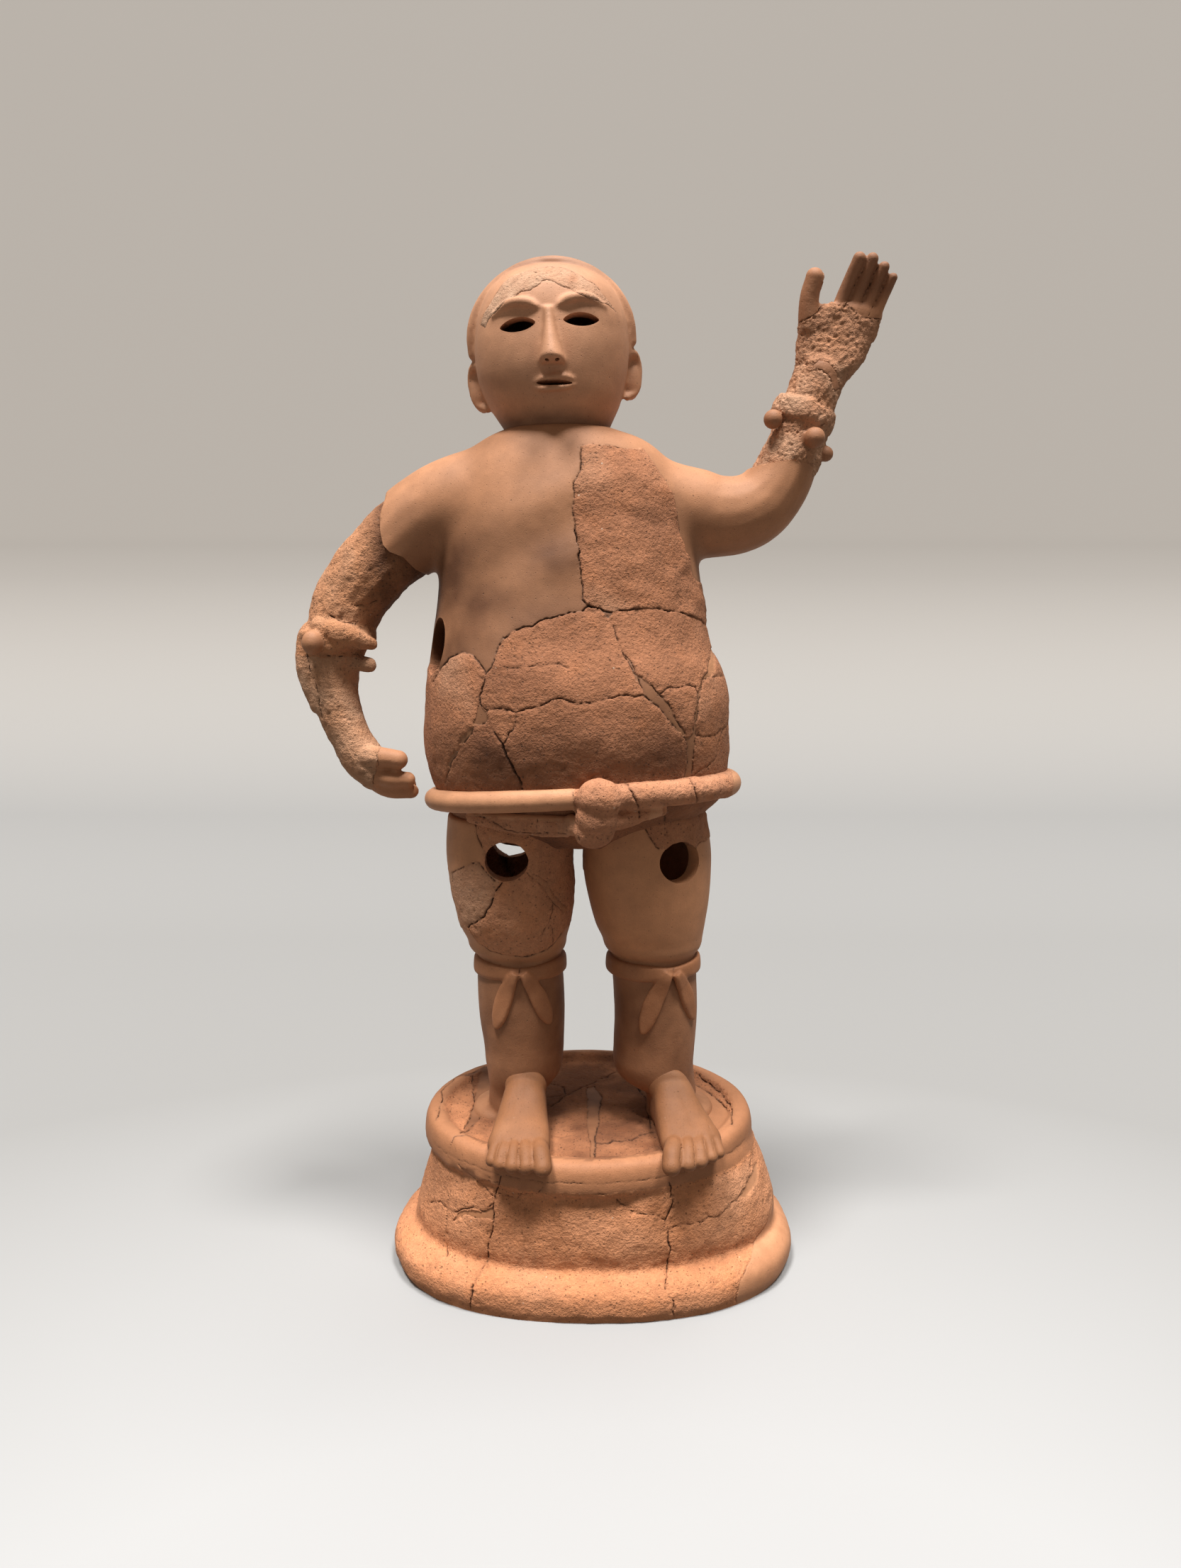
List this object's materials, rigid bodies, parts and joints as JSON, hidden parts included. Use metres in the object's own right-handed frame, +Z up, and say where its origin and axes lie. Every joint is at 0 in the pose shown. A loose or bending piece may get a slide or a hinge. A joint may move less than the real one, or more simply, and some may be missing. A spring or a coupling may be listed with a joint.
{
  "type": "haniwa figure",
  "caption": "Hollow terracotta haniwa wrestler standing on an oval drum base, one hand raised and one by the hip, with a cord belt, bead wristlets and knee ties.",
  "frame": {"origin": "middle of the base drum's footprint, on the floor it stands on", "axes": "+Z up through the head, the figure faces -Y, +X towards its raised left hand"},
  "size_m": [0.4068, 0.2102, 0.713],
  "materials": {
    "terracotta": "unglazed, matt"
  },
  "bodies": {
    "root": {"haniwa_wrestler": "terracotta"}
  },
  "joints": []
}
